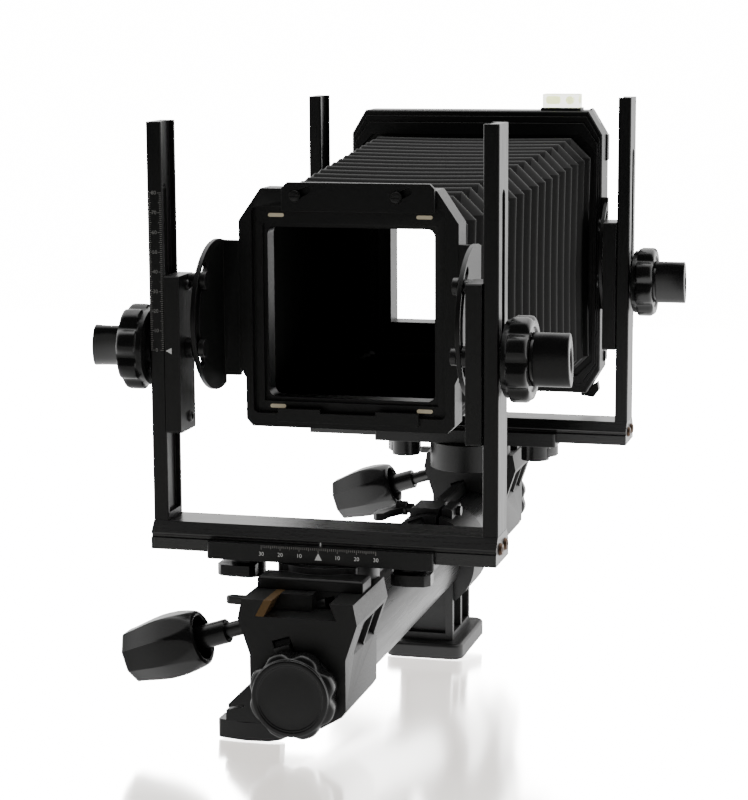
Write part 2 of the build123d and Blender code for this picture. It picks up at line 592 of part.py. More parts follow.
    def arc_slot(self, x, radius, first, last):
        """Cutter for a slot along a circle about the tilt axis, in degrees from +Y towards +Z."""
        outer = rod((x[0] - 1, self.tilt_y, TILT_Z), (x[1] + 1, self.tilt_y, TILT_Z), radius + ARC_SLOT_HALF)
        outer -= rod((x[0] - 2, self.tilt_y, TILT_Z), (x[1] + 2, self.tilt_y, TILT_Z), radius - ARC_SLOT_HALF)
        reach = 3 * radius
        steps = [first + (last - first) * i / 4 for i in range(5)]
        fan = [(self.tilt_y, TILT_Z)]
        fan += [(self.tilt_y + reach * math.cos(math.radians(a)), TILT_Z + reach * math.sin(math.radians(a)))
                for a in steps]
        slot = outer & prism_x(fan, x[0] - 1, x[1] + 1)
        for a in (first, last):
            y = self.tilt_y + radius * math.cos(math.radians(a))
            z = TILT_Z + radius * math.sin(math.radians(a))
            slot += rod((x[0] - 1, y, z), (x[1] + 1, y, z), ARC_SLOT_HALF)
        return slot


front = Standard("front", FRONT_Y, -1, FRONT_HALF_SPAN, 3.0, 4.0)
rear = Standard("rear", REAR_Y, 1, REAR_HALF_SPAN, 1.2, 1.3)


# ---------------------------------------------------------------- front frame
def front_frame():
    """Square frame with a seat for the lens board, a fixed lip below and a chamfered outline."""
    low, high = FRONT_FRAME_Z
    y0, y1 = FRONT_FRAME_Y
    outline = [
        (-56.0, low + 4), (-52.5, low), (53, low), (57.0, low + 4), (57.0, 195), (59.0, 200), (59.0, 278),
        (47.5, high), (-47, high), (-59.0, 278), (-59.0, 200), (-56.0, 195),
    ]
    solid = prism_y(outline, y0, y1)
    half = FRONT_OPENING / 2
    hole = block((-half, half), (y0 - 1, y1 + 1), (TILT_Z - half, TILT_Z + half))
    hole = fillet(hole.edges().filter_by(Axis.Y), 4.0)
    board = BOARD_SIZE / 2
    seat = block((-board + 3, board - 3), (y0 - 1, y0 + 4), (TILT_Z - board + 2, TILT_Z + board + 1))
    seat = fillet(seat.edges().filter_by(Axis.Y), 3.0)
    solid -= hole
    solid -= seat
    # light trap step behind the seat
    trap = block((-half - 2, half + 2), (y0 - 1, y0 + 6), (TILT_Z - half - 2, TILT_Z + half + 2))
    solid -= trap
    # fixed lip that holds the lower edge of a lens board
    lip = block((-38, 38), (y0 - 2.2, y0 + 0.6), (low + 3.3, TILT_Z - board + 5))
    lip -= block((-15, 15), (y0 - 3, y0 + 2), (TILT_Z - board + 3, TILT_Z))
    solid += lip
    for x in LOCK_SCREW_X:
        solid -= rod((x, y0 - 1, LOCK_SCREW_Z), (x, y0 + 8, LOCK_SCREW_Z), 1.5)
    return solid


def lens_board_lock():
    """Sliding plate above the lens board, with two slanted slots over its screws."""
    y0 = FRONT_FRAME_Y[0]
    outline = [(-34.5, 283.5), (47, 283.5), (47, 296), (44.5, 298.5), (-31.5, 298.5), (-34.5, 295.5)]
    plate = prism_y(outline, y0 - 3.3, y0 - GAP)
    along = Vector(LOCK_DIR[0], 0, LOCK_DIR[1])
    side = Vector(-LOCK_DIR[1], 0, LOCK_DIR[0]) * 1.9
    for x in LOCK_SCREW_X:
        a = Vector(x, 0, LOCK_SCREW_Z) + along * 0.1
        b = a - along * (LOCK_TRAVEL + 0.2)
        for point in (a, b):
            plate -= rod((point.X, y0 - 5, point.Z), (point.X, y0 + 2, point.Z), 1.9)
        quad = [(p.X, p.Z) for p in (a + side, b + side, b - side, a - side)]
        plate -= prism_y(quad, y0 - 5, y0 + 2)
    return plate


def lock_screws():
    """Two shouldered screws that guide the sliding plate."""
    y0 = FRONT_FRAME_Y[0]
    screws = []
    for x in LOCK_SCREW_X:
        shank = rod((x, y0 + 7.5, LOCK_SCREW_Z), (x, y0 - 3.7, LOCK_SCREW_Z), 1.5)
        head = rod((x, y0 - 3.6, LOCK_SCREW_Z), (x, y0 - 5.0, LOCK_SCREW_Z), 3.2, 2.8)
        slot = block((x - 4, x + 4), (y0 - 5.2, y0 - 4.5), (LOCK_SCREW_Z - 0.4, LOCK_SCREW_Z + 0.4))
        screws.append(shank + head - slot)
    return screws


# ---------------------------------------------------------------- rear frame
def rear_frame():
    """Larger frame for the film back, bevelled in front, with a recessed seat behind."""
    low, high = REAR_FRAME_Z
    y0, y1 = REAR_FRAME_Y
    solid = prism_y(chamfered_rectangle(REAR_FRAME_HALF_X, low, high, 9, 15), y0, y1)
    solid = chamfer(solid.faces().sort_by(Axis.Y)[0].edges(), 0.8)
    width, height = REAR_OPENING
    solid -= block((-width / 2, width / 2), (y0 - 1, y1 + 1), (TILT_Z - height / 2, TILT_Z + height / 2))
    seat = block((-72, 72), (y1 - 5, y1 + 1), (TILT_Z - 72, TILT_Z + 72))
    solid -= fillet(seat.edges().filter_by(Axis.Y), 3.0)
    for z in (low + 9, high - 11):
        for x in (-60, 60):
            solid -= rod((x, y1 - 8, z), (x, y1 + 1, z), BACK_SCREW_R)
    # shallow rebate in front for the bellows frame
    solid -= block((-66, 66), (y0 - 1, y0 + 2), (TILT_Z - 65, TILT_Z + 65))
    return solid


def spirit_level():
    """Two-way level: a thin base with a clear block that holds two vials."""
    x0, x1 = 43.0, 67.0
    z = REAR_FRAME_Z[1]
    base = block((x0 - 1, x1 + 1), (113.0, 126.0), (z, z + 2.0))
    body = block((x0, x1), (113.5, 125.5), (z + 2.0, z + 10.5))
    body = fillet(body.edges().filter_by(Axis.Z), 2.0)
    return base + body


# ---------------------------------------------------------------- bellows
def bellows_ring(half_low, half_high, corner, y0, y1):
    """A tapered square shell between two planes across the optical axis."""
    faces = []
    for y, half in ((y0, half_low), (y1, half_high)):
        points = chamfered_rectangle(half, TILT_Z - half, TILT_Z + half, corner)
        faces.append(make_face(Polyline(*[(x, y, z) for x, z in points], close=True)))
    return loft(faces, ruled=True)


def bellows():
    y0, y1 = FRONT_FRAME_Y[1], REAR_FRAME_Y[0]
    outer = bellows_ring(*BELLOWS_HALF, BELLOWS_CORNER, y0, y1)
    inner = bellows_ring(*[h - BELLOWS_WALL for h in BELLOWS_HALF], BELLOWS_CORNER - 1.5, y0 - 0.01, y1 + 0.01)
    return outer - inner


# ---------------------------------------------------------------- write every sub-part
save("rail_tube", rail_tube())
save("rail_rack", rail_rack())
save("front_end_cap", end_cap(RAIL_FRONT, -1))
save("rear_end_cap", end_cap(RAIL_REAR, 1))
save("tripod_block", tripod_block())
save("tripod_insert", tripod_insert())
save("tripod_lever", tripod_lever())

for standard in (front, rear):
    name = standard.name
    save(f"{name}_carriage", standard.carriage())
    save(f"{name}_rail_jaw", standard.rail_jaw())
    save(f"{name}_rail_lever", standard.rail_lever())
    save(f"{name}_focus_pinion", standard.focus_pinion())
    save(f"{name}_focus_handle", standard.focus_handle())
    save(f"{name}_focus_lock", standard.focus_lock())
    save(f"{name}_swing_base", standard.swing_base())
    save(f"{name}_turntable", standard.turntable())
    save(f"{name}_shift_channel", standard.shift_channel())
    save(f"{name}_shift_lever", standard.lock_lever(-1))
    save(f"{name}_swing_lever", standard.lock_lever(1))
    save(f"{name}_crossbar", standard.crossbar())
    save(f"{name}_end_screws", standard.end_screws())
    for side, word in ((-1, "left"), (1, "right")):
        save(f"{name}_upright_{word}", standard.upright(side))
        save(f"{name}_slide_{word}", standard.slide_block(side))
        save(f"{name}_rise_knob_{word}", standard.rise_knob(side))
        save(f"{name}_tilt_knob_{word}", standard.tilt_knob(side))
    save(f"{name}_spindles", standard.spindles())

save("front_tilt_plates", front.tilt_plates(FRONT_FRAME_HALF_X, FRONT_FRAME_Y[0]))
save("rear_tilt_plates", rear.tilt_plates(REAR_FRAME_HALF_X, REAR_FRAME_Y[0]))
save("brass_gib", front.brass_gib())
save("front_frame", front_frame())
save("lock_screws", lock_screws())
save("lens_board_lock", lens_board_lock())
save("rear_frame", rear_frame())
save("spirit_level", spirit_level())
save("bellows", bellows())
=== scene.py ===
import bpy
import bmesh
import json
import math
from mathutils import Matrix, Vector

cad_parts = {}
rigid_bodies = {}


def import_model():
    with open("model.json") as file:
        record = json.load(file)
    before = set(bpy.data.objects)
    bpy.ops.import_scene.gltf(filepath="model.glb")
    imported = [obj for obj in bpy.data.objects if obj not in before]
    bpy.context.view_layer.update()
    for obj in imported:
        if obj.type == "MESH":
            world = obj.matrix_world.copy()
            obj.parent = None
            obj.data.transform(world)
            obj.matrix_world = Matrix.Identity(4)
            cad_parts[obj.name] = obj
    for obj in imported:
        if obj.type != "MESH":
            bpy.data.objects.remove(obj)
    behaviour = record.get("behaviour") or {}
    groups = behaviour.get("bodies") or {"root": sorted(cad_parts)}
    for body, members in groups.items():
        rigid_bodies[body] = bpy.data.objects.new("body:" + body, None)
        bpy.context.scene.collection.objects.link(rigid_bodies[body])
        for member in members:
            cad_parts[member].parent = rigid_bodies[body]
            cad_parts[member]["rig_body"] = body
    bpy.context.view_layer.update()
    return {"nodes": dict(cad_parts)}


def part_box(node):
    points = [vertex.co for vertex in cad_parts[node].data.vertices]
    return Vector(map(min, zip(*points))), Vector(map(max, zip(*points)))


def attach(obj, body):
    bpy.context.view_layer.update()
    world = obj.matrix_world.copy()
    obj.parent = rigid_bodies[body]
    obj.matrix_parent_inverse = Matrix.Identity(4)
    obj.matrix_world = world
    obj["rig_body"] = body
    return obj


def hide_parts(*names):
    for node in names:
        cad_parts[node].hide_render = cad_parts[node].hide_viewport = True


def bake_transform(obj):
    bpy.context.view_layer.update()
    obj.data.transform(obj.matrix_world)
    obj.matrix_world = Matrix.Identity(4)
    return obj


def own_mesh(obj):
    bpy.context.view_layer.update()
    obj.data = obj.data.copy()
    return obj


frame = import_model()
nodes = frame["nodes"]

# Places shared by several pieces, in mm, as in the CAD part.
MM = 0.001
RAIL_Z = 56.0
RAIL_RADIUS = 19.5
KNOB_Z = 216.0
SCALE_ZERO_Z = 215.9
OPTICAL_Z = 229.5
CROSSBAR_HALF_DEPTH = 15.5
UPRIGHT_Y = {"front": -239.0, "rear": 98.0}
DRIVE_Y = {"front": -272.0, "rear": 122.0}
OUT = {"front": -1, "rear": 1}
SIDES = ((-1, "left"), (1, "right"))

# How far marks stand proud of their face, and how deep they go into it, in mm.
MARK_LIFT = 0.02
MARK_DEPTH = 0.3


# ---------------------------------------------------------------- materials
def shader(name, color, rough, metal=0.0, specular=0.5, coat=0.0):
    """A principled material with its constant numbers set on the shader itself."""
    material = bpy.data.materials.new(name)
    material.use_nodes = True
    tree = material.node_tree
    bsdf = tree.nodes["Principled BSDF"]
    bsdf.inputs["Base Color"].default_value = (*color, 1)
    bsdf.inputs["Roughness"].default_value = rough
    bsdf.inputs["Metallic"].default_value = metal
    bsdf.inputs["Specular IOR Level"].default_value = specular
    bsdf.inputs["Coat Weight"].default_value = coat
    bsdf.inputs["Coat Roughness"].default_value = 0.1
    return material, tree, bsdf


def object_coords(tree, scale=(1, 1, 1)):
    coords = tree.nodes.new("ShaderNodeTexCoord")
    mapping = tree.nodes.new("ShaderNodeMapping")
    mapping.inputs["Scale"].default_value = scale
    tree.links.new(coords.outputs["Object"], mapping.inputs["Vector"])
    return mapping.outputs["Vector"]


def noise(tree, vector, scale, detail=4.0, rough=0.55):
    node = tree.nodes.new("ShaderNodeTexNoise")
    node.inputs["Scale"].default_value = scale
    node.inputs["Detail"].default_value = detail
    node.inputs["Roughness"].default_value = rough
    tree.links.new(vector, node.inputs["Vector"])
    return node.outputs["Fac"]


def ramp(tree, fac, stops):
    node = tree.nodes.new("ShaderNodeValToRGB")
    elements = node.color_ramp.elements
    while len(elements) < len(stops):
        elements.new(0.5)
    for element, (place, color) in zip(elements, stops):
        element.position = place
        element.color = (*color, 1)
    tree.links.new(fac, node.inputs["Fac"])
    return node.outputs["Color"]


def remap(tree, fac, low, high, from_low=0.3, from_high=0.7):
    node = tree.nodes.new("ShaderNodeMapRange")
    node.inputs["From Min"].default_value = from_low
    node.inputs["From Max"].default_value = from_high
    node.inputs["To Min"].default_value = low
    node.inputs["To Max"].default_value = high
    tree.links.new(fac, node.inputs["Value"])
    return node.outputs["Result"]


def bump(tree, bsdf, height, strength, distance):
    node = tree.nodes.new("ShaderNodeBump")
    node.inputs["Strength"].default_value = strength
    node.inputs["Distance"].default_value = distance
    tree.links.new(height, node.inputs["Height"])
    tree.links.new(node.outputs["Normal"], bsdf.inputs["Normal"])


CLOUD_SCALE = 9.0
BUMP_STRENGTH = 0.35


def surface(name, dark, light, rough, grain_scale, grain_depth, stretch=(1, 1, 1), **extra):
    """A dark finish: slow cloudy variation in colour, and a fine grain in roughness and relief."""
    material, tree, bsdf = shader(name, dark, rough[0], **extra)
    plain = object_coords(tree)
    grain_vector = object_coords(tree, stretch)
    slow = noise(tree, plain, CLOUD_SCALE, 3.0)
    grain = noise(tree, grain_vector, grain_scale, 5.0, 0.62)
    tree.links.new(ramp(tree, slow, ((0.35, dark), (0.68, light))), bsdf.inputs["Base Color"])
    tree.links.new(remap(tree, grain, rough[0], rough[1]), bsdf.inputs["Roughness"])
    bump(tree, bsdf, grain, BUMP_STRENGTH, grain_depth)
    return material


def grey(v, warm=0.0):
    """A neutral colour of brightness v, tinted towards red by a small share."""
    return (v * (1 + warm), v, v * (1 - warm))


# Brushed finishes: their grain is drawn out along one axis.
ALONG_X, ALONG_Y, ALONG_Z = (0.05, 1, 1), (1, 0.03, 1), (1, 1, 0.05)

ANODISED_X = surface("anodised_black_x", grey(0.006), grey(0.010), (0.27, 0.38), 900.0, 0.00003, ALONG_X)
ANODISED_BAR = surface("anodised_bar", grey(0.007), grey(0.011), (0.25, 0.34), 900.0, 0.00003, ALONG_X,
                       specular=1.0)
ANODISED_Z = surface("anodised_black_z", grey(0.005), grey(0.008), (0.27, 0.38), 900.0, 0.00003, ALONG_Z)
ENAMEL = surface("black_enamel", grey(0.004), grey(0.007), (0.34, 0.46), 1500.0, 0.00003)
CASTING = surface("black_casting", grey(0.006), grey(0.010, 0.02), (0.36, 0.5), 1100.0, 0.00007)
PLASTIC = surface("black_plastic", grey(0.006), grey(0.009), (0.23, 0.27), 320.0, 0.000003)
TUBE = surface("grey_tube", grey(0.028), grey(0.040), (0.24, 0.36), 800.0, 0.00002, ALONG_Y)
STEEL = surface("blackened_steel", grey(0.05), grey(0.085), (0.26, 0.4), 1200.0, 0.00003, metal=0.85)
BRIGHT_STEEL = surface("bare_steel", grey(0.42), grey(0.6), (0.24, 0.4), 1300.0, 0.00002, metal=1.0)
BRASS = surface("worn_brass", (0.16, 0.095, 0.04), (0.27, 0.17, 0.08), (0.4, 0.55), 900.0, 0.00004,
                metal=0.8)
COPPER = surface("dark_copper", (0.06, 0.035, 0.022), (0.12, 0.07, 0.045), (0.3, 0.45), 900.0, 0.00004,
                 metal=0.8)
FOLD_CLOTH = surface("bellows_cloth", grey(0.003), grey(0.005, 0.02), (0.32, 0.44), 1600.0, 0.00006,
                     specular=0.3)
LINING = surface("bellows_lining", grey(0.022), grey(0.034), (0.55, 0.75), 1400.0, 0.00008,
                 specular=0.2)
WHITE_INK = surface("white_ink", grey(0.55), grey(0.75), (0.5, 0.65), 2500.0, 0.00001)
FADED_INK = surface("faded_ink", grey(0.24), grey(0.38, 0.05), (0.5, 0.65), 2500.0, 0.00001)
IVORY = surface("ivory_insert", (0.5, 0.46, 0.34), (0.66, 0.61, 0.47), (0.4, 0.55), 900.0, 0.00003)

# Pale marks get a little painted light, a glow of their own, because they face the dim side of the
# surroundings.
GLOWS = (
    (WHITE_INK, (1, 0.99, 0.95), 0.2),
    (FADED_INK, (1, 0.98, 0.9), 0.03),
    (IVORY, (1, 0.86, 0.6), 0.2),
)
for lit, color, strength in GLOWS:
    glow_input = lit.node_tree.nodes["Principled BSDF"].inputs
    glow_input["Emission Color"].default_value = (*color, 1)
    glow_input["Emission Strength"].default_value = strength


def clear_material():
    material, tree, bsdf = shader("clear_acrylic", (0.95, 0.97, 0.93), 0.04)
    bsdf.inputs["Transmission Weight"].default_value = 0.92
    bsdf.inputs["IOR"].default_value = 1.49
    # Painted light: the clear block glows a little, standing in for light caught inside it.
    bsdf.inputs["Emission Color"].default_value = (1, 0.995, 0.93, 1)
    bsdf.inputs["Emission Strength"].default_value = 0.9
    fine = noise(tree, object_coords(tree), 300.0)
    tree.links.new(remap(tree, fine, 0.03, 0.07), bsdf.inputs["Roughness"])
    return material


def fluid_material():
    material, tree, bsdf = shader("vial_fluid", (0.72, 0.82, 0.10), 0.1, coat=0.6)
    slow = noise(tree, object_coords(tree), 160.0, 2.0)
    stops = ((0.3, (0.62, 0.74, 0.06)), (0.7, (0.85, 0.92, 0.22)))
    tree.links.new(ramp(tree, slow, stops), bsdf.inputs["Base Color"])
    # Painted light: the fluid glows a little, standing in for light passing through it.
    bsdf.inputs["Emission Color"].default_value = (0.75, 0.85, 0.15, 1)
    bsdf.inputs["Emission Strength"].default_value = 0.5
    return material


ACRYLIC = clear_material()
FLUID = fluid_material()


# ---------------------------------------------------------------- mesh helpers
def shade(mesh, angle):
    mesh.shade_smooth()
    mesh.set_sharp_from_angle(angle=math.radians(angle))


def bevelled(obj, width, segments=2, angle=32):
    if width:
        modifier = obj.modifiers.new("edges", "BEVEL")
        modifier.width = width * MM
        modifier.segments = segments
        modifier.limit_method = "ANGLE"
        modifier.angle_limit = math.radians(angle)
        modifier.harden_normals = True
        modifier.use_clamp_overlap = True
    return obj


def piece(name, mesh_or_bm, material, body, replaces=(), sharp=35):
    """Puts a mesh, already in metres in the shared frame, on its body."""
    if isinstance(mesh_or_bm, bmesh.types.BMesh):
        bmesh.ops.recalc_face_normals(mesh_or_bm, faces=mesh_or_bm.faces[:])
        mesh = bpy.data.meshes.new(name)
        mesh_or_bm.to_mesh(mesh)
        mesh_or_bm.free()
    else:
        mesh = mesh_or_bm
    shade(mesh, sharp)
    obj = bpy.data.objects.new(name, mesh)
    bpy.context.scene.collection.objects.link(obj)
    materials = material if isinstance(material, (list, tuple)) else [material]
    mesh.materials.clear()
    for m in materials:
        mesh.materials.append(m)
    if body:
        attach(obj, body)
    if replaces:
        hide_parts(*replaces)
    return obj


def body_of(node):
    return nodes[node]["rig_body"]


def refined(node, material, width=0.5, segments=3, angle=32, sharp=35):
    """A copy of a CAD node with its flat faces merged and its hard edges rounded."""
    bm = bmesh.new()
    bm.from_mesh(nodes[node].data)
    bmesh.ops.remove_doubles(bm, verts=bm.verts[:], dist=1e-6)
    bmesh.ops.dissolve_limit(bm, angle_limit=math.radians(0.6), verts=bm.verts[:], edges=bm.edges[:])
    bmesh.ops.dissolve_degenerate(bm, edges=bm.edges[:], dist=2e-6)
    obj = piece(f"{node}_shape", bm, material, body_of(node), [node], sharp)
    return bevelled(obj, width, segments, angle)


def add_prism(bm, points, low, high, axis):
    """Adds a closed prism, in mm; points are the two other coordinates in X, Y, Z order."""
    def place(p, h):
        if axis == "X":
            return (h * MM, p[0] * MM, p[1] * MM)
        if axis == "Y":
            return (p[0] * MM, h * MM, p[1] * MM)
        return (p[0] * MM, p[1] * MM, h * MM)
    first = [bm.verts.new(place(p, low)) for p in points]
    second = [bm.verts.new(place(p, high)) for p in points]
    bm.faces.new(first)
    bm.faces.new(second)
    for i in range(len(points)):
        j = (i + 1) % len(points)
        bm.faces.new((first[i], first[j], second[j], second[i]))
    return bm


def prism(points, low, high, axis):
    return add_prism(bmesh.new(), points, low, high, axis)


def rectangle(cx, cy, half_x, half_y, corner=0.0, steps=4):
    """A rectangle's outline in mm, with rounded corners if a radius is given."""
    if not corner:
        signs = ((-1, -1), (1, -1), (1, 1), (-1, 1))
        return [(cx + sx * half_x, cy + sy * half_y) for sx, sy in signs]
    points = []
    for k, (sx, sy) in enumerate(((1, 1), (-1, 1), (-1, -1), (1, -1))):
        for i in range(steps + 1):
            a = math.radians(90 * k + 90 * i / steps)
            x = cx + sx * (half_x - corner) + corner * math.cos(a)
            y = cy + sy * (half_y - corner) + corner * math.sin(a)
            points.append((x, y))
    return points


def turned(profile, origin, axis, across, count=96, lobes=0, phase=0.0, power=1.0):
    """Revolves (radius, height, flute depth) points in mm about an axis. Flutes cut into the radius."""
    axis, across = Vector(axis).normalized(), Vector(across).normalized()
    side = axis.cross(across)
    bm = bmesh.new()
    rings = []
    for radius, height, depth in profile:
        centre = Vector(origin) + axis * height
        if radius < 1e-6:
            rings.append([bm.verts.new(centre * MM)])
            continue
        ring = []
        for j in range(count):
            angle = 2 * math.pi * j / count
            cut = 0.0
            if lobes:
                cut = depth * ((1 + math.cos(lobes * angle + phase)) / 2) ** power
            r = radius - cut
            ring.append(bm.verts.new((centre + (across * math.cos(angle) + side * math.sin(angle)) * r) * MM))
        rings.append(ring)
    for a, b in zip(rings, rings[1:]):
        for j in range(count):
            k = (j + 1) % count
            if len(a) == 1:
                bm.faces.new((a[0], b[j], b[k]))
            elif len(b) == 1:
                bm.faces.new((a[j], b[0], a[k]))
            else:
                bm.faces.new((a[j], b[j], b[k], a[k]))
    return bm


def join_into(bm, other):
    """Appends the second bmesh to the first and frees the second."""
    mesh = bpy.data.meshes.new("part")
    other.to_mesh(mesh)
    other.free()
    bm.from_mesh(mesh)
    bpy.data.meshes.remove(mesh)


def bridge(bm, first, second):
    """Joins two rings of the same length with a band of faces."""
    count = len(first)
    for j in range(count):
        k = (j + 1) % count
        bm.faces.new((first[j], second[j], second[k], first[k]))


def lettering(words, size, depth=0.05):
    """Numbers as one mesh, in mm, lying in local XY with their middle at each given place."""
    bm = bmesh.new()
    for text, x, y in words:
        curve = bpy.data.curves.new("number", "FONT")
        curve.body = text
        curve.size = size
        curve.align_x = "CENTER"
        curve.align_y = "CENTER"
        curve.extrude = depth / 2
        curve.resolution_u = 3
        obj = bpy.data.objects.new("number", curve)
        mesh = bpy.data.meshes.new_from_object(obj)
        mesh.transform(Matrix.Translation((x, y, 0)))
        bm.from_mesh(mesh)
        bpy.data.objects.remove(obj)
        bpy.data.curves.remove(curve)
        bpy.data.meshes.remove(mesh)
    return bm


def to_face(bm, origin, right, up):
    """Moves flat marks, drawn in mm in local XY, onto a face of the object."""
    right, up = Vector(right), Vector(up)
    out = right.cross(up)
    turn = Matrix((right, up, out)).transposed().to_4x4()
    bm.transform(Matrix.Translation(Vector(origin) * MM) @ turn @ Matrix.Scale(MM, 4))
    return bm


def screw(at, axis, radius, height, bm):
    """Adds a domed screw head with a round recess, on a face that looks along X."""
    hole = radius * 0.5
    profile = [
        (0, -0.6, 0), (radius * 0.6, -0.6, 0), (radius, -0.3, 0), (radius, height * 0.45, 0),
        (radius * 0.9, height * 0.8, 0), (radius * 0.7, height, 0), (hole * 1.1, height, 0),
        (hole, height * 0.9, 0), (hole, height * 0.25, 0), (0, height * 0.15, 0),
    ]
    join_into(bm, turned(profile, at, axis, (0, 0, 1), 30))


# ---------------------------------------------------------------- rail
def rail():
    low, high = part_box("rail_tube")
    y0, y1 = low.y / MM, high.y / MM
    bore, chamfer, rings = 16.5, 0.5, 24
    profile = [(bore, 0, 0), (RAIL_RADIUS - chamfer, 0, 0), (RAIL_RADIUS, chamfer, 0)]
    profile += [(RAIL_RADIUS, chamfer + (y1 - y0 - 1) * i / rings, 0) for i in range(1, rings + 1)]
    profile += [(RAIL_RADIUS - chamfer, y1 - y0, 0), (bore, y1 - y0, 0), (bore, 0, 0)]
    bm = turned(profile, (0, y0, RAIL_Z), (0, 1, 0), (0, 0, 1), 120)
    bmesh.ops.remove_doubles(bm, verts=bm.verts[:], dist=1e-7)
    piece("tube_shape", bm, TUBE, "rail", ["rail_tube"])
    nodes["rail_rack"].data.materials.clear()
    nodes["rail_rack"].data.materials.append(STEEL)


def end_caps():
    """Plastic caps with eight flutes, a rolled rim and a flat sunk middle."""
    for name, y, out in (("front_end_cap", -300.0, -1), ("rear_end_cap", 172.0, 1)):
        profile = [
            (0, -13.5, 0), (15.8, -13.5, 0), (16.4, -12.9, 0), (16.4, 0.02, 0), (20.8, 0.02, 0.8),
            (22.1, 0.7, 2.0), (22.3, 1.6, 2.2), (22.3, 6.4, 2.2), (22.0, 7.6, 2.0), (21.1, 8.6, 1.2),
            (20.1, 9.1, 0.3), (19.6, 9.4, 0), (19.4, 9.9, 0), (19.4, 10.7, 0), (19.1, 11.25, 0),
            (18.5, 11.45, 0), (17.3, 11.45, 0), (16.8, 11.25, 0), (16.5, 10.75, 0), (16.2, 10.4, 0),
            (15.8, 10.3, 0), (12, 10.3, 0), (6, 10.3, 0), (0, 10.3, 0),
        ]
        bm = turned(profile, (0, y, RAIL_Z), (0, out, 0), (0, 0, 1), 144, 8, 0.0, 2.0)
        piece(f"{name}_shape", bm, PLASTIC, "rail", [name], sharp=50)


def tripod():
    refined("tripod_block", CASTING, 0.9, 3)
    refined("tripod_insert", BRIGHT_STEEL, 0.3, 2)
    refined("tripod_lever", STEEL, 0.6, 3)


# ---------------------------------------------------------------- standards
# The focus shaft slopes down and out to the left, across the top of the rail.
SHAFT_SLOPE = math.radians(17.8)
SHAFT_FROM_RAIL = 33.7
SHAFT_DIR = Vector((-math.cos(SHAFT_SLOPE), 0, -math.sin(SHAFT_SLOPE)))


def focus_drive(name):
    """Shaft, neck and the faceted barrel grip."""
    y = DRIVE_Y[name]
    foot = Vector((-SHAFT_FROM_RAIL * math.sin(SHAFT_SLOPE), y,
                   RAIL_Z + SHAFT_FROM_RAIL * math.cos(SHAFT_SLOPE)))
    body = f"{name}_focus_drive"
    refined(f"{name}_focus_pinion", STEEL, 0.15, 2)
    mouth, tip = 49.0, 89.5
    count = 128
    steps = 46
    sections = []
    # flat is the distance of the eight flats from the axis, and limit the radius that rounds the edges
    for i in range(steps + 1):
        s = i / steps
        along = mouth + (tip - mouth) * s
        flat = 13.4 + 2.3 * math.sin(math.pi * min(1, max(0, (s * 0.93 + 0.12)))) ** 1.3
        flat -= 0.9 * max(0, s - 0.45) ** 1.1
        limit = 15.3 + 1.6 * math.sin(math.pi * min(1, s * 0.86 + 0.12))
        if s < 0.42:
            limit = 13.3 + (limit - 13.3) * math.sin(math.pi / 2 * s / 0.42) ** 0.6
        edge = 1 - max(0, (s - 0.965) / 0.035) ** 2 * 0.09
        start = 1 - max(0, (0.03 - s) / 0.03) ** 2 * 0.05
        sections.append((along, flat * edge * start, limit * edge * start))
    across, side = Vector((0, 1, 0)), SHAFT_DIR.cross(Vector((0, 1, 0)))
    bm = bmesh.new()
    rings = []
    for along, flat, limit in sections:
        ring = []
        for j in range(count):
            angle = 2 * math.pi * j / count
            within = (angle + math.pi / 8) % (math.pi / 4) - math.pi / 8
            r = min(flat / math.cos(within), limit)
            point = foot + SHAFT_DIR * along + (across * math.cos(angle) + side * math.sin(angle)) * r
            ring.append(bm.verts.new(point * MM))
        rings.append(ring)
    for a, b in zip(rings, rings[1:]):
        bridge(bm, a, b)
    bm.faces.new(rings[-1])
    # hollow mouth with a thick rounded lip
    inner = ((12.3, 0.1), (11.5, 0.5), (11.1, 1.4), (10.9, 9.0), (10.3, 9.6), (6.0, 9.6))
    previous = rings[0]
    for r, depth in inner:
        along = mouth + depth
        ring = []
        for j in range(count):
            angle = 2 * math.pi * j / count
            point = foot + SHAFT_DIR * along + (across * math.cos(angle) + side * math.sin(angle)) * r
            ring.append(bm.verts.new(point * MM))
        for j in range(count):
            k = (j + 1) % count
            bm.faces.new((previous[j], previous[k], ring[k], ring[j]))
        previous = ring
    bm.faces.new(previous)
    neck = [
        (4.05, 35.0, 0), (5.7, 35.0, 0), (6.2, 35.5, 0), (6.2, 48.0, 0),
        (6.2, mouth + 9.8, 0), (4.05, mouth + 9.8, 0), (4.05, 35.0, 0),
    ]
    collar = turned(neck, foot, SHAFT_DIR, (0, 1, 0), 64)
    bmesh.ops.remove_doubles(collar, verts=collar.verts[:], dist=1e-7)
    join_into(bm, collar)
    piece(f"{name}_grip", bm, PLASTIC, body, [f"{name}_focus_handle"], sharp=24)


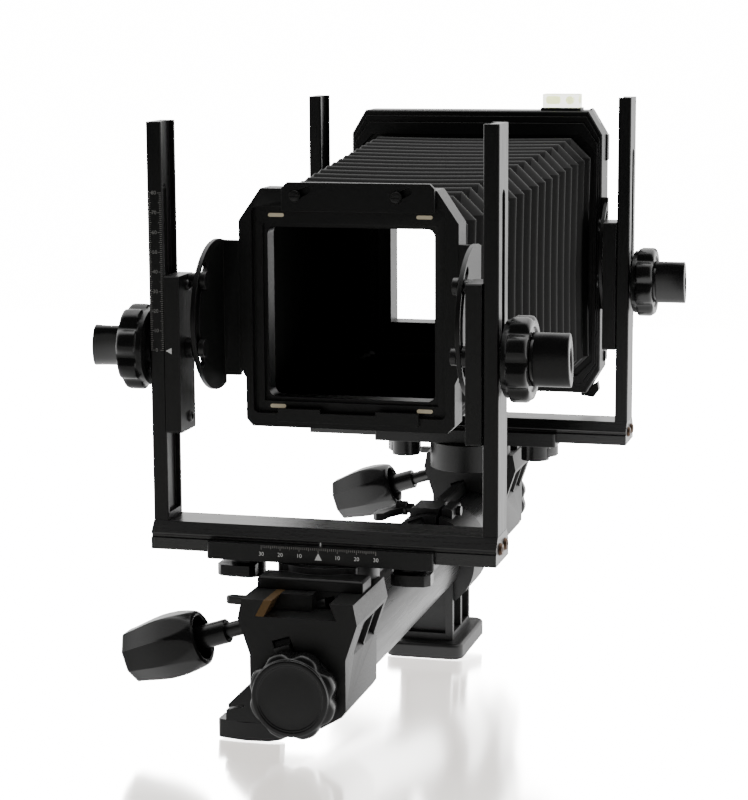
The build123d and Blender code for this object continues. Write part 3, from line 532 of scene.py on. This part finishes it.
def wheel(name, side, word):
    """Fluted hand wheel with a plain collar towards the upright."""
    low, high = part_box(f"{name}_tilt_knob_{word}")
    x = (low.x if side > 0 else high.x) / MM
    origin = (x, UPRIGHT_Y[name], KNOB_Z)
    profile = [
        (3.05, 0, 0), (11.0, 0, 0), (11.0, 1.5, 0), (18.2, 1.5, 0), (19.4, 2.1, 0), (19.7, 4.2, 0),
        (20.1, 4.7, 0.8), (21.6, 5.2, 2.4), (22.0, 6.2, 2.8), (22.0, 12.6, 2.8), (21.7, 13.7, 2.6),
        (20.8, 14.7, 1.8), (19.6, 15.2, 0.7), (17.0, 15.3, 0), (16.2, 15.1, 0), (15.9, 14.3, 0),
        (10, 14.2, 0), (3.05, 14.2, 0), (3.05, 0, 0),
    ]
    phase = 0.35 if side > 0 else 1.2
    bm = turned(profile, origin, (side, 0, 0), (0, 0, 1), 144, 8, phase, 2.4)
    bmesh.ops.remove_doubles(bm, verts=bm.verts[:], dist=1e-7)
    knob = f"{name}_tilt_knob_{word}"
    piece(f"{name}_wheel_{word}", bm, PLASTIC, f"{knob}_body", [knob], sharp=40)


# Each wing's turn about its axis, in degrees, and the slant of its end.
WING_TURN = {
    ("front", "left"): (38, 0.2),
    ("front", "right"): (0, 0.03),
    ("rear", "left"): (20, 0.1),
    ("rear", "right"): (12, 0.0),
}


def wing(name, side, word, turn, lean):
    """Wing knob: a low hub and a waisted blade with a slanted end and a recess in it."""
    low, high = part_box(f"{name}_rise_knob_{word}")
    x = (low.x if side > 0 else high.x) / MM
    axis = Vector((side, 0, 0))
    up = Matrix.Rotation(math.radians(turn), 3, "X") @ Vector((0, 0, 1))
    across = axis.cross(up)
    origin = Vector((x, UPRIGHT_Y[name], KNOB_Z))
    start = -2.0
    hub = [
        (3.05, start, 0), (10.8, start, 0), (11.4, start + 0.5, 0),
        (11.2, start + 1.6, 0), (3.05, start + 1.9, 0), (3.05, start, 0),
    ]
    bm = turned(hub, origin, axis, up, 72)
    bmesh.ops.remove_doubles(bm, verts=bm.verts[:], dist=1e-7)
    around, levels = 64, 12
    end_height = 17.4

    def ring_at(scale_u, scale_v, height_of):
        """One ring of the blade: long along up, waisted across, its height set by the place along up."""
        ring = []
        for j in range(around):
            a = 2 * math.pi * j / around
            u = 13.5 * scale_u * math.copysign(abs(math.cos(a)) ** 0.8, math.cos(a))
            v = 6.3 * scale_v * math.copysign(abs(math.sin(a)) ** 1.25, math.sin(a))
            v += 1.5 * scale_v * math.copysign(abs(math.sin(a)) ** 0.5, math.sin(a))
            v -= 0.8 * scale_v * math.sin(a)
            ring.append(bm.verts.new((origin + up * u + across * v + axis * height_of(u)) * MM))
        return ring

    rings = []
    for i in range(levels + 1):
        t = i / levels
        waist = 1 - 0.16 * math.sin(math.pi * min(1, t * 0.9 + 0.05))
        rise = end_height - start - 0.8
        rings.append(ring_at(1.0, waist, lambda u, t=t: start + 0.3 + (rise - lean * u) * t))
    # the end: rounded edge, flat rim, then the recess
    end = (
        (0.985, 0.93, 0.15), (0.95, 0.82, 0.0), (0.5, 0.5, 0.0),
        (0.46, 0.44, 0.3), (0.44, 0.4, 1.6), (0.2, 0.2, 1.7),
    )
    for shrink_u, shrink_v, drop in end:
        rings.append(ring_at(shrink_u, shrink_v, lambda u, drop=drop: end_height - lean * u - drop))
    for a, b in zip(rings, rings[1:]):
        bridge(bm, a, b)
    bm.faces.new(rings[0])
    bm.faces.new(rings[-1])
    knob = f"{name}_rise_knob_{word}"
    piece(f"{name}_wing_{word}", bm, PLASTIC, f"{knob}_body", [knob], sharp=40)


def slides(name):
    """The two blocks that ride on the uprights, with two screw heads on each one's inner face."""
    for side, word in SIDES:
        node = f"{name}_slide_{word}"
        refined(node, ANODISED_Z, 0.5, 3)
        low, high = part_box(node)
        inner = (high.x if side < 0 else low.x) / MM
        bm = bmesh.new()
        for y, z in ((1.0, 180.3), (1.0, 248.3)):
            screw((inner, UPRIGHT_Y[name] + y, z), (-side, 0, 0), 2.9, 1.5, bm)
        piece(f"{name}_slide_screws_{word}", bm, STEEL, f"{name}_slide_body")


def rise_scale():
    """Engraved rise scale on the front left upright, and the pointer on its slide."""
    low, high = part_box("front_upright_left")
    x0, x1 = low.x / MM, high.x / MM
    y = low.y / MM - MARK_LIFT
    bm = bmesh.new()
    for i in range(81):
        z = SCALE_ZERO_Z + i
        long = 2.0 if i % 10 == 0 else (1.6 if i % 5 == 0 else 1.1)
        for x in (x1 - 0.5 - long / 2, x0 + 0.5 + long / 2):
            add_prism(bm, rectangle(x, z, long / 2, 0.13), y, y + MARK_DEPTH, "Y")
    piece("rise_scale_ticks", bm, FADED_INK, "front_standard_body")
    words = [(str(10 * i), 0, 10 * i) for i in range(9)]
    middle = (x0 + x1) / 2 - 0.4
    numbers = to_face(lettering(words, 2.7), (middle, y, SCALE_ZERO_Z), (1, 0, 0), (0, 0, 1))
    piece("rise_scale_numbers", numbers, FADED_INK, "front_standard_body")
    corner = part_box("front_slide_left")[0]
    x, y = corner.x / MM + 0.6, corner.y / MM - 0.03
    tip, top, bottom = (x, SCALE_ZERO_Z), (x + 3.2, SCALE_ZERO_Z + 1.6), (x + 3.2, SCALE_ZERO_Z - 1.6)
    marker = prism([tip, top, bottom], y, y + MARK_DEPTH, "Y")
    piece("rise_pointer", marker, WHITE_INK, "front_slide_body")


def shift_scale(name):
    """Shift scale on the outer lip of the channel, with its index mark on the crossbar."""
    low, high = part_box(f"{name}_shift_channel")
    out = OUT[name]
    y = (low.y if out < 0 else high.y) / MM
    face = y + out * MARK_LIFT
    depths = sorted((face, face - out * MARK_DEPTH))
    tick_top, number_z = 119.1, 114.6
    bm = bmesh.new()
    for i in range(-30, 31):
        long = 2.2 if i % 10 == 0 else (1.7 if i % 5 == 0 else 1.2)
        add_prism(bm, rectangle(i, tick_top - long / 2, 0.15, long / 2), *depths, "Y")
    piece(f"{name}_shift_ticks", bm, FADED_INK, f"{name}_swing_body")
    words = [(str(abs(10 * i)), 10 * i * -out, 0) for i in range(-3, 4) if i]
    numbers = lettering(words, 2.9)
    to_face(numbers, (0, face - out * MARK_LIFT, number_z), (-out, 0, 0), (0, 0, 1))
    piece(f"{name}_shift_numbers", numbers, WHITE_INK, f"{name}_swing_body")
    mark = prism([(-1.9, 112.9), (1.9, 112.9), (0, 116.6)], *depths, "Y")
    piece(f"{name}_shift_index", mark, WHITE_INK, f"{name}_swing_body")
    edge = UPRIGHT_Y[name] + out * (CROSSBAR_HALF_DEPTH + MARK_LIFT)
    line = prism(rectangle(0, 119.6, 0.22, 1.4), *sorted((edge, edge - out * 1.0)), "Y")
    piece(f"{name}_centre_line", line, WHITE_INK, f"{name}_standard_body")


def channelled(name, side, word):
    """An upright with a shallow channel down its inner face, open at the top."""
    border_width, depth, clearance = 2.6, 2.6, 5
    obj = refined(f"{name}_upright_{word}", ANODISED_Z, 0)
    low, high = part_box(f"{name}_upright_{word}")
    inner = (high.x if side < 0 else low.x) / MM
    middle, half = UPRIGHT_Y[name], (high.y - low.y) / MM / 2 - border_width
    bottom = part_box(f"{name}_crossbar")[1].z / MM + 4
    sides = sorted((inner + side * depth, inner - side * clearance))
    outline = rectangle(sum(sides) / 2, middle, (sides[1] - sides[0]) / 2, half)
    cutter_mesh = bpy.data.meshes.new("channel")
    bm = prism(outline, bottom, high.z / MM + clearance, "Z")
    bmesh.ops.recalc_face_normals(bm, faces=bm.faces[:])
    bm.to_mesh(cutter_mesh)
    bm.free()
    cutter = bpy.data.objects.new("channel", cutter_mesh)
    bpy.context.scene.collection.objects.link(cutter)
    cut = obj.modifiers.new("cut", "BOOLEAN")
    cut.operation = "DIFFERENCE"
    cut.solver = "EXACT"
    cut.object = cutter
    evaluated = obj.evaluated_get(bpy.context.evaluated_depsgraph_get())
    done = bpy.data.meshes.new_from_object(evaluated)
    obj.modifiers.remove(cut)
    obj.data = done
    shade(done, 35)
    bpy.data.objects.remove(cutter)
    bpy.data.meshes.remove(cutter_mesh)
    bevelled(obj, 0.4, 3)


def standard(name):
    """One standard, from its clamp on the rail to the clamps on its uprights."""
    refined(f"{name}_carriage", CASTING, 0.7, 3)
    refined(f"{name}_rail_jaw", CASTING, 0.7, 3)
    refined(f"{name}_rail_lever", PLASTIC, 1.0, 3)
    refined(f"{name}_focus_lock", STEEL, 0.8, 3)
    refined(f"{name}_swing_base", ENAMEL, 0.4, 2)
    refined(f"{name}_turntable", ANODISED_X, 0.3, 2)
    refined(f"{name}_shift_channel", ANODISED_X, 0.35, 2)
    refined(f"{name}_shift_lever", PLASTIC, 0.7, 3)
    refined(f"{name}_swing_lever", PLASTIC, 0.7, 3)
    refined(f"{name}_crossbar", ANODISED_BAR, 0.3, 2)
    refined(f"{name}_end_screws", COPPER, 0.2, 2)
    refined(f"{name}_tilt_plates", ENAMEL, 0.35, 2)
    for side, word in SIDES:
        channelled(name, side, word)
        wheel(name, side, word)
        wing(name, side, word, *WING_TURN[name, word])
    slides(name)
    refined(f"{name}_spindles", STEEL, 0.25, 2)
    focus_drive(name)
    shift_scale(name)


# ---------------------------------------------------------------- frames
def cut_corners(half_x, low_z, high_z, cut_x, cut_z):
    """An upright rectangle's outline with its four corners cut off."""
    right = [
        (half_x - cut_x, low_z), (half_x, low_z + cut_z),
        (half_x, high_z - cut_z), (half_x - cut_x, high_z),
    ]
    return right + [(-x, z) for x, z in reversed(right)]


def border():
    """Raised border round the bellows on the rear frame, and the small catches at its right side."""
    low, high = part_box("rear_frame")
    face = low.y / MM
    half = high.x / MM
    steps = (
        ((half - 1.6, 145.5, 318.5, 8.6, 14), (half - 2.6, 147.5, 314.5, 9, 13), 1.1),
        ((half - 2.7, 147.6, 314.4, 9, 13), (76.9, 152.6, 306.4, 9.5, 9.5), 2.2),
    )
    for step, (rim, hole, front) in enumerate(steps):
        outer, inner = cut_corners(*rim), cut_corners(*hole)
        bm = bmesh.new()
        loops = []
        back = face + 0.2
        for points, y in ((outer, back), (outer, face - front), (inner, face - front), (inner, back)):
            loops.append([bm.verts.new((x * MM, y * MM, z * MM)) for x, z in points])
        for i in range(4):
            bridge(bm, loops[i], loops[(i + 1) % 4])
        obj = piece(f"rear_border_{step + 1}", bm, ENAMEL, "rear_frame_body")
        bevelled(obj, 0.35, 2, 20)
    root = half - 0.2
    top_catch = [(71.0, 322.4), (77.0, 312.4), (78.3, 313.2), (72.3, 323.2)]
    bottom_catch = [(71.6, 141.3), (78.2, 146.2), (79.0, 140.6), (75.5, 135.8), (67.5, 136.8), (66.2, 141.3)]
    upper_tab = [(root, 289.3), (83.2, 290.3), (83.2, 306.3), (root, 307.1)]
    lower_tab = [(root, 159.6), (83.4, 160.4), (83.4, 166.4), (root, 167.1)]
    bm = bmesh.new()
    add_prism(bm, top_catch, 127.0, 135.8, "Y")
    for outline in (bottom_catch, upper_tab, lower_tab):
        add_prism(bm, outline, 128.0, 135.0, "Y")
    bevelled(piece("rear_catches", bm, PLASTIC, "rear_frame_body"), 0.35, 2)


def frames():
    """Both frames, the lens board's lock, and the small pieces on the front frame."""
    refined("front_frame", ENAMEL, 0.5, 3)
    refined("lens_board_lock", ENAMEL, 0.4, 3)
    refined("lock_screws", STEEL, 0.2, 2)
    refined("brass_gib", BRASS, 0.15, 2)
    refined("rear_frame", ENAMEL, 0.8, 3)
    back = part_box("lens_board_lock")[1].y / MM
    bm = bmesh.new()
    for x in (-23.0, 32.9):
        add_prism(bm, rectangle(x, 295.6, 6.0, 2.5, 1.2), back + 0.15, back + 3.0, "Y")
    piece("lock_slot_lugs", bm, ENAMEL, "front_frame_body")
    border()
    y = -195.0
    bm = bmesh.new()
    for x, z in ((-39.5, 280.9), (40.2, 280.9), (-39.5, 179.9), (40.2, 179.9)):
        add_prism(bm, rectangle(x, z, 4.2, 0.95, 0.9), y - 0.9, y + 0.2, "Y")
    piece("seat_pads", bm, IVORY, "front_frame_body")


def level():
    """Spirit level on the rear frame: a dark base, a clear block and two vials."""
    low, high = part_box("spirit_level")
    x0, x1, y0, y1, z0, z1 = (v / MM for v in (low.x, high.x, low.y, high.y, low.z, high.z))
    cx, cy, half_x, half_y = (x0 + x1) / 2, (y0 + y1) / 2, (x1 - x0) / 2, (y1 - y0) / 2
    base = prism(rectangle(cx, cy, half_x, half_y, 1.0), z0, z0 + 1.9, "Z")
    bevelled(piece("level_base", base, PLASTIC, "rear_frame_body", ["spirit_level"]), 0.3)
    body = prism(rectangle(cx, cy, half_x - 1.1, half_y - 0.6, 1.8, 6), z0 + 1.95, z1, "Z")
    bevelled(piece("level_block", body, ACRYLIC, "rear_frame_body"), 0.5, 3)
    vial = [
        (0, -4.6, 0), (1.6, -4.5, 0), (2.4, -3.9, 0), (2.6, -3, 0), (2.7, 0, 0),
        (2.6, 3, 0), (2.4, 3.9, 0), (1.6, 4.5, 0), (0, 4.6, 0),
    ]
    for i, (x, axis) in enumerate(((x0 + 7.6, (1, 0, 0)), (x1 - 7.6, (0, 1, 0)))):
        bm = turned(vial, (x, cy, z0 + 6.6), axis, (0, 0, 1), 40)
        piece(f"level_vial_{i + 1}", bm, FLUID, "rear_frame_body", sharp=60)


# ---------------------------------------------------------------- bellows
PLEAT = 16.7
FOLD_DEPTH = 10.5
FIRST_HILL = -178.0
HILLS_LENGTH = 283.0
FRONT_HALF, WIDENING = 59.0, 16.7
BELLOWS_Y = (-182.0, 112.0)
CLOTH = 0.8


def bellows_half(y):
    """Half the width of the bellows over its hills, which grows towards the rear."""
    return FRONT_HALF + (y - FIRST_HILL) / HILLS_LENGTH * WIDENING


def bellows_ring(y, inset=0.0):
    """Outline of the folded tube at y: eight points, hills cut across the corners and valleys square."""
    phase = ((y - FIRST_HILL) / PLEAT) % 1.0
    away = PLEAT * min(phase, 1 - phase)
    soft = 0.8
    depth = (math.hypot(away, soft) - soft) / (math.hypot(PLEAT / 2, soft) - soft)
    half = bellows_half(y) - FOLD_DEPTH * depth - inset
    cut = max(12.5 - 11.5 * depth - inset * 0.6, 0.6)
    return [(half - cut, -half), (half, -half + cut), (half, half - cut), (half - cut, half),
            (-half + cut, half), (-half, half - cut), (-half, -half + cut), (-half + cut, -half)]


def fold_stations(y0, y1):
    """Places along Y for rings between y0 and y1: every hill and valley, with soft shoulders."""
    stations = {round(y0, 3), round(y1, 3)}
    for k in range(-1, 40):
        middle = FIRST_HILL + k * PLEAT / 2
        for d in (-1.4, -0.8, -0.3, 0.0, 0.3, 0.8, 1.4, 2.9, 5.5):
            if y0 < middle + d < y1:
                stations.add(round(middle + d, 3))
    return sorted(stations)


def bellows_section(y0, y1):
    """A closed length of the bellows: cloth outside, lining inside, and a rim at each end."""
    stations = fold_stations(y0, y1)
    bm = bmesh.new()
    layers = []
    for inset in (0.0, CLOTH):
        rings = []
        for y in stations:
            points = subdivided(bellows_ring(y, inset))
            rings.append([bm.verts.new((x * MM, y * MM, (OPTICAL_Z + z) * MM)) for x, z in points])
        layers.append(rings)
    count = len(layers[0][0])
    for index, rings in enumerate(layers):
        for a, b in zip(rings, rings[1:]):
            for j in range(count):
                k = (j + 1) % count
                face = bm.faces.new((a[j], b[j], b[k], a[k]) if index == 0 else (a[j], a[k], b[k], b[j]))
                face.material_index = index
    for end in (0, -1):
        a, b = layers[0][end], layers[1][end]
        for j in range(count):
            k = (j + 1) % count
            bm.faces.new((a[j], a[k], b[k], b[j]))
    return bm


def subdivided(points):
    """Adds points along the four long sides, which bow very slightly inwards."""
    result = []
    for i, p in enumerate(points):
        q = points[(i + 1) % len(points)]
        result.append(p)
        if i % 2 == 1:
            for t in (0.12, 0.3, 0.5, 0.7, 0.88):
                bow = 1 - 0.010 * math.sin(math.pi * t)
                x, z = p[0] + (q[0] - p[0]) * t, p[1] + (q[1] - p[1]) * t
                result.append((x * bow, z) if abs(p[0] - q[0]) < 1e-6 else (x, z * bow))
    return result


def bellows():
    """Ten sections end to end, each bridging one joint."""
    front, rear = BELLOWS_Y
    half = PLEAT / 2
    valley = FIRST_HILL + half
    # each section's rear end, in half folds behind the first valley
    folds = (1, 3, 5, 8, 18, 24, 27, 28, 30)
    marks = [front] + [valley + n * half for n in folds] + [rear]
    # each link is the pair of bodies a section lies between, or the name of a joint; a joint's section goes
    # on the rail with a mesh of its own, the others stay fixed in place
    chain = [
        ("front_frame_body", "front_slide_body"),
        ("front_slide_body", "front_standard_body"),
        ("front_standard_body", "front_swing_body"),
        ("front_swing_body", "front_carriage_body"),
        "front_focus",
        "rear_focus",
        ("rear_carriage_body", "rear_swing_body"),
        ("rear_swing_body", "rear_standard_body"),
        ("rear_standard_body", "rear_slide_body"),
        ("rear_slide_body", "rear_frame_body"),
    ]
    for i, link in enumerate(chain):
        y0, y1 = marks[i], marks[i + 1]
        squashed = isinstance(link, str)
        obj = piece(f"bellows_{i + 1}", bellows_section(y0, y1), [FOLD_CLOTH, LINING],
                    "rail" if squashed else None, ["bellows"], sharp=26)
        if squashed:
            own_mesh(obj)
        else:
            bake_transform(obj)


# ---------------------------------------------------------------- build
rail()
end_caps()
tripod()
for standard_name in ("front", "rear"):
    standard(standard_name)
rise_scale()
frames()
level()
bellows()


# ---------------------------------------------------------------- camera, floor and light
# The view fitted to the photo: focal length in mm for a 36 mm sensor, angles in degrees, place in mm.
SENSOR = 36
FOCAL_LENGTH = 104.0328
AZIMUTH, ELEVATION, ROLL = 14.84, 9.737, -0.32
VIEWPOINT = (317.25, -1347.69, 386.5)


def camera():
    data = bpy.data.cameras.new("camera")
    data.lens = FOCAL_LENGTH
    data.sensor_width = SENSOR
    data.shift_x = 0.0021
    data.shift_y = 0.0070
    data.clip_end = 50
    obj = bpy.data.objects.new("camera", data)
    bpy.context.scene.collection.objects.link(obj)
    azimuth, elevation, roll = (math.radians(v) for v in (AZIMUTH, ELEVATION, ROLL))
    flat = math.cos(elevation)
    back = Vector((math.sin(azimuth) * flat, -math.cos(azimuth) * flat, math.sin(elevation)))
    right = Vector((math.cos(azimuth), math.sin(azimuth), 0))
    up = back.cross(right)
    x = right * math.cos(roll) + up * math.sin(roll)
    y = up * math.cos(roll) - right * math.sin(roll)
    turn = Matrix((x, y, back)).transposed().to_4x4()
    obj.matrix_world = Matrix.Translation(Vector(VIEWPOINT) * MM) @ turn
    bpy.context.scene.camera = obj


FLOOR_TILT = 5.95
FLOOR_GAP = 0.0004
FOOT_FRONT_Y = -0.034


def floor():
    """A pale tilted plane, in metres, passing just under the front edge of the camera's foot."""
    slope = math.tan(math.radians(FLOOR_TILT))
    bm = bmesh.new()
    for x, y in ((-5, -1.25), (5, -1.25), (5, 6), (-5, 6)):
        bm.verts.new((x, y, -FLOOR_GAP - (y - FOOT_FRONT_Y) * slope))
    bm.faces.new(bm.verts[:])
    mesh = bpy.data.meshes.new("floor")
    bm.to_mesh(mesh)
    bm.free()
    obj = bpy.data.objects.new("floor", mesh)
    bpy.context.scene.collection.objects.link(obj)
    material, tree, bsdf = shader("floor", (0.34, 0.34, 0.33), 0.3, specular=0.3)
    bsdf.inputs["Emission Color"].default_value = (1, 1, 1, 1)
    place = tree.nodes.new("ShaderNodeSeparateXYZ")
    tree.links.new(object_coords(tree), place.inputs["Vector"])
    fade = remap(tree, place.outputs["Y"], 0.06, 1.5, -0.42, -0.08)
    tree.links.new(fade, bsdf.inputs["Emission Strength"])
    sheen = tree.nodes.new("ShaderNodeBsdfGlossy")
    sheen.inputs["Color"].default_value = (8, 8, 8, 1)
    slow = noise(tree, object_coords(tree), 3.0)
    tree.links.new(remap(tree, slow, 0.10, 0.14), sheen.inputs["Roughness"])
    glow = tree.nodes.new("ShaderNodeEmission")
    glow.inputs["Color"].default_value = (1, 0.94, 0.88, 1)
    glow.inputs["Strength"].default_value = 1.3
    both = tree.nodes.new("ShaderNodeAddShader")
    tree.links.new(sheen.outputs["BSDF"], both.inputs[0])
    tree.links.new(glow.outputs["Emission"], both.inputs[1])
    path = tree.nodes.new("ShaderNodeLightPath")
    chosen = tree.nodes.new("ShaderNodeMixShader")
    tree.links.new(path.outputs["Is Camera Ray"], chosen.inputs["Fac"])
    tree.links.new(bsdf.outputs["BSDF"], chosen.inputs[1])
    tree.links.new(both.outputs["Shader"], chosen.inputs[2])
    tree.links.new(chosen.outputs["Shader"], tree.nodes["Material Output"].inputs["Surface"])
    mesh.materials.append(material)


def light(name, place, target, size, power):
    data = bpy.data.lights.new(name, "AREA")
    data.shape = "RECTANGLE"
    data.size, data.size_y = size
    data.energy = power
    obj = bpy.data.objects.new(name, data)
    bpy.context.scene.collection.objects.link(obj)
    obj.location = place
    obj.rotation_mode = "QUATERNION"
    obj.rotation_quaternion = (Vector(target) - Vector(place)).to_track_quat("-Z", "Y")


def world():
    """White surroundings, dim on the side the picture is taken from; pure white where seen directly."""
    scene_world = bpy.data.worlds.new("studio")
    bpy.context.scene.world = scene_world
    scene_world.use_nodes = True
    tree = scene_world.node_tree
    background = tree.nodes["Background"]
    background.inputs["Color"].default_value = (1, 0.998, 0.99, 1)
    coords = tree.nodes.new("ShaderNodeTexCoord")
    split = tree.nodes.new("ShaderNodeSeparateXYZ")
    tree.links.new(coords.outputs["Generated"], split.inputs["Vector"])
    sides = tree.nodes.new("ShaderNodeMapRange")
    sides.inputs["From Min"].default_value = -0.38
    sides.inputs["From Max"].default_value = 0.25
    sides.inputs["To Min"].default_value = 0.055
    sides.inputs["To Max"].default_value = 2.1
    tree.links.new(split.outputs["Y"], sides.inputs["Value"])
    path = tree.nodes.new("ShaderNodeLightPath")
    mix = tree.nodes.new("ShaderNodeMix")
    mix.inputs["B"].default_value = 16.0
    tree.links.new(path.outputs["Is Camera Ray"], mix.inputs["Factor"])
    tree.links.new(sides.outputs["Result"], mix.inputs["A"])
    tree.links.new(mix.outputs["Result"], background.inputs["Strength"])


camera()
floor()
world()
light("top_panel", (0.1, 0.25, 1.6), (0, 0, 0.2), (1.2, 1.2), 3.5)
